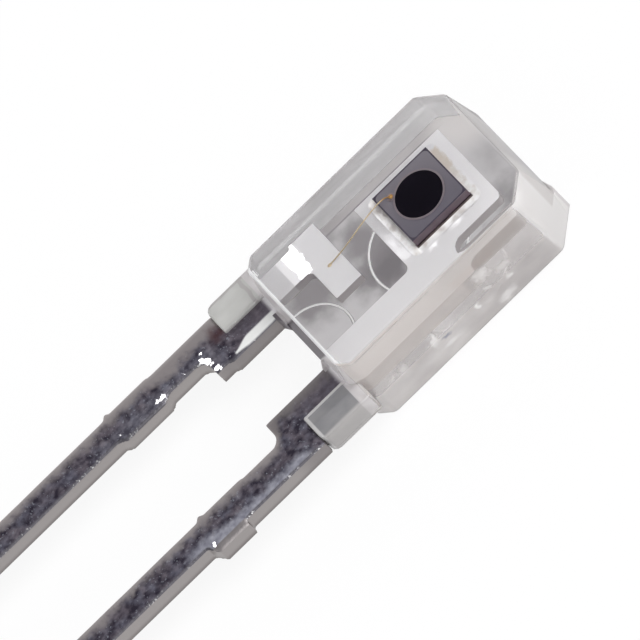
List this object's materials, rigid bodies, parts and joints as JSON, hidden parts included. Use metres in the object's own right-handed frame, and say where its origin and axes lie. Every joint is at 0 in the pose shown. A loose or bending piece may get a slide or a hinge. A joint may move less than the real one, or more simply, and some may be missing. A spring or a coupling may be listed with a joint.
{
  "type": "photodiode",
  "caption": "Side-looking photodiode: clear drafted epoxy block with cut corners, moulded over a stamped lead frame with a square silicon chip, a gold bond wire and long flat leads.",
  "frame": {"origin": "centre of the flat back face of the epoxy body, at the body's mid height", "axes": "+Z out of the window that faces the light, +Y from the leads to the head of the body, +X from the anode to the cathode; the part lies on its back face"},
  "size_m": [0.0033, 0.0222, 0.0015],
  "materials": {
    "clear_epoxy": "clear moulded epoxy with a slight haze, glossy",
    "tinned_lead": "dull tin over the outer leads, bright silver plating on the pads inside",
    "silver_paste": "cured silver-filled paste, grainy satin",
    "silicon": "polished silicon under a thin oxide, slate grey with a purple cast",
    "dark_coating": "antireflection coating, near black with a purple cast",
    "contact_metal": "thin evaporated metal",
    "gold": "drawn gold wire"
  },
  "bodies": {
    "root": {"epoxy_body": "clear_epoxy", "anode_lead": "tinned_lead", "cathode_lead": "tinned_lead", "silver_paste": "silver_paste", "chip": "silicon", "active_area": "dark_coating", "contact_ring": "contact_metal", "bond_wire": "gold"}
  },
  "joints": []
}
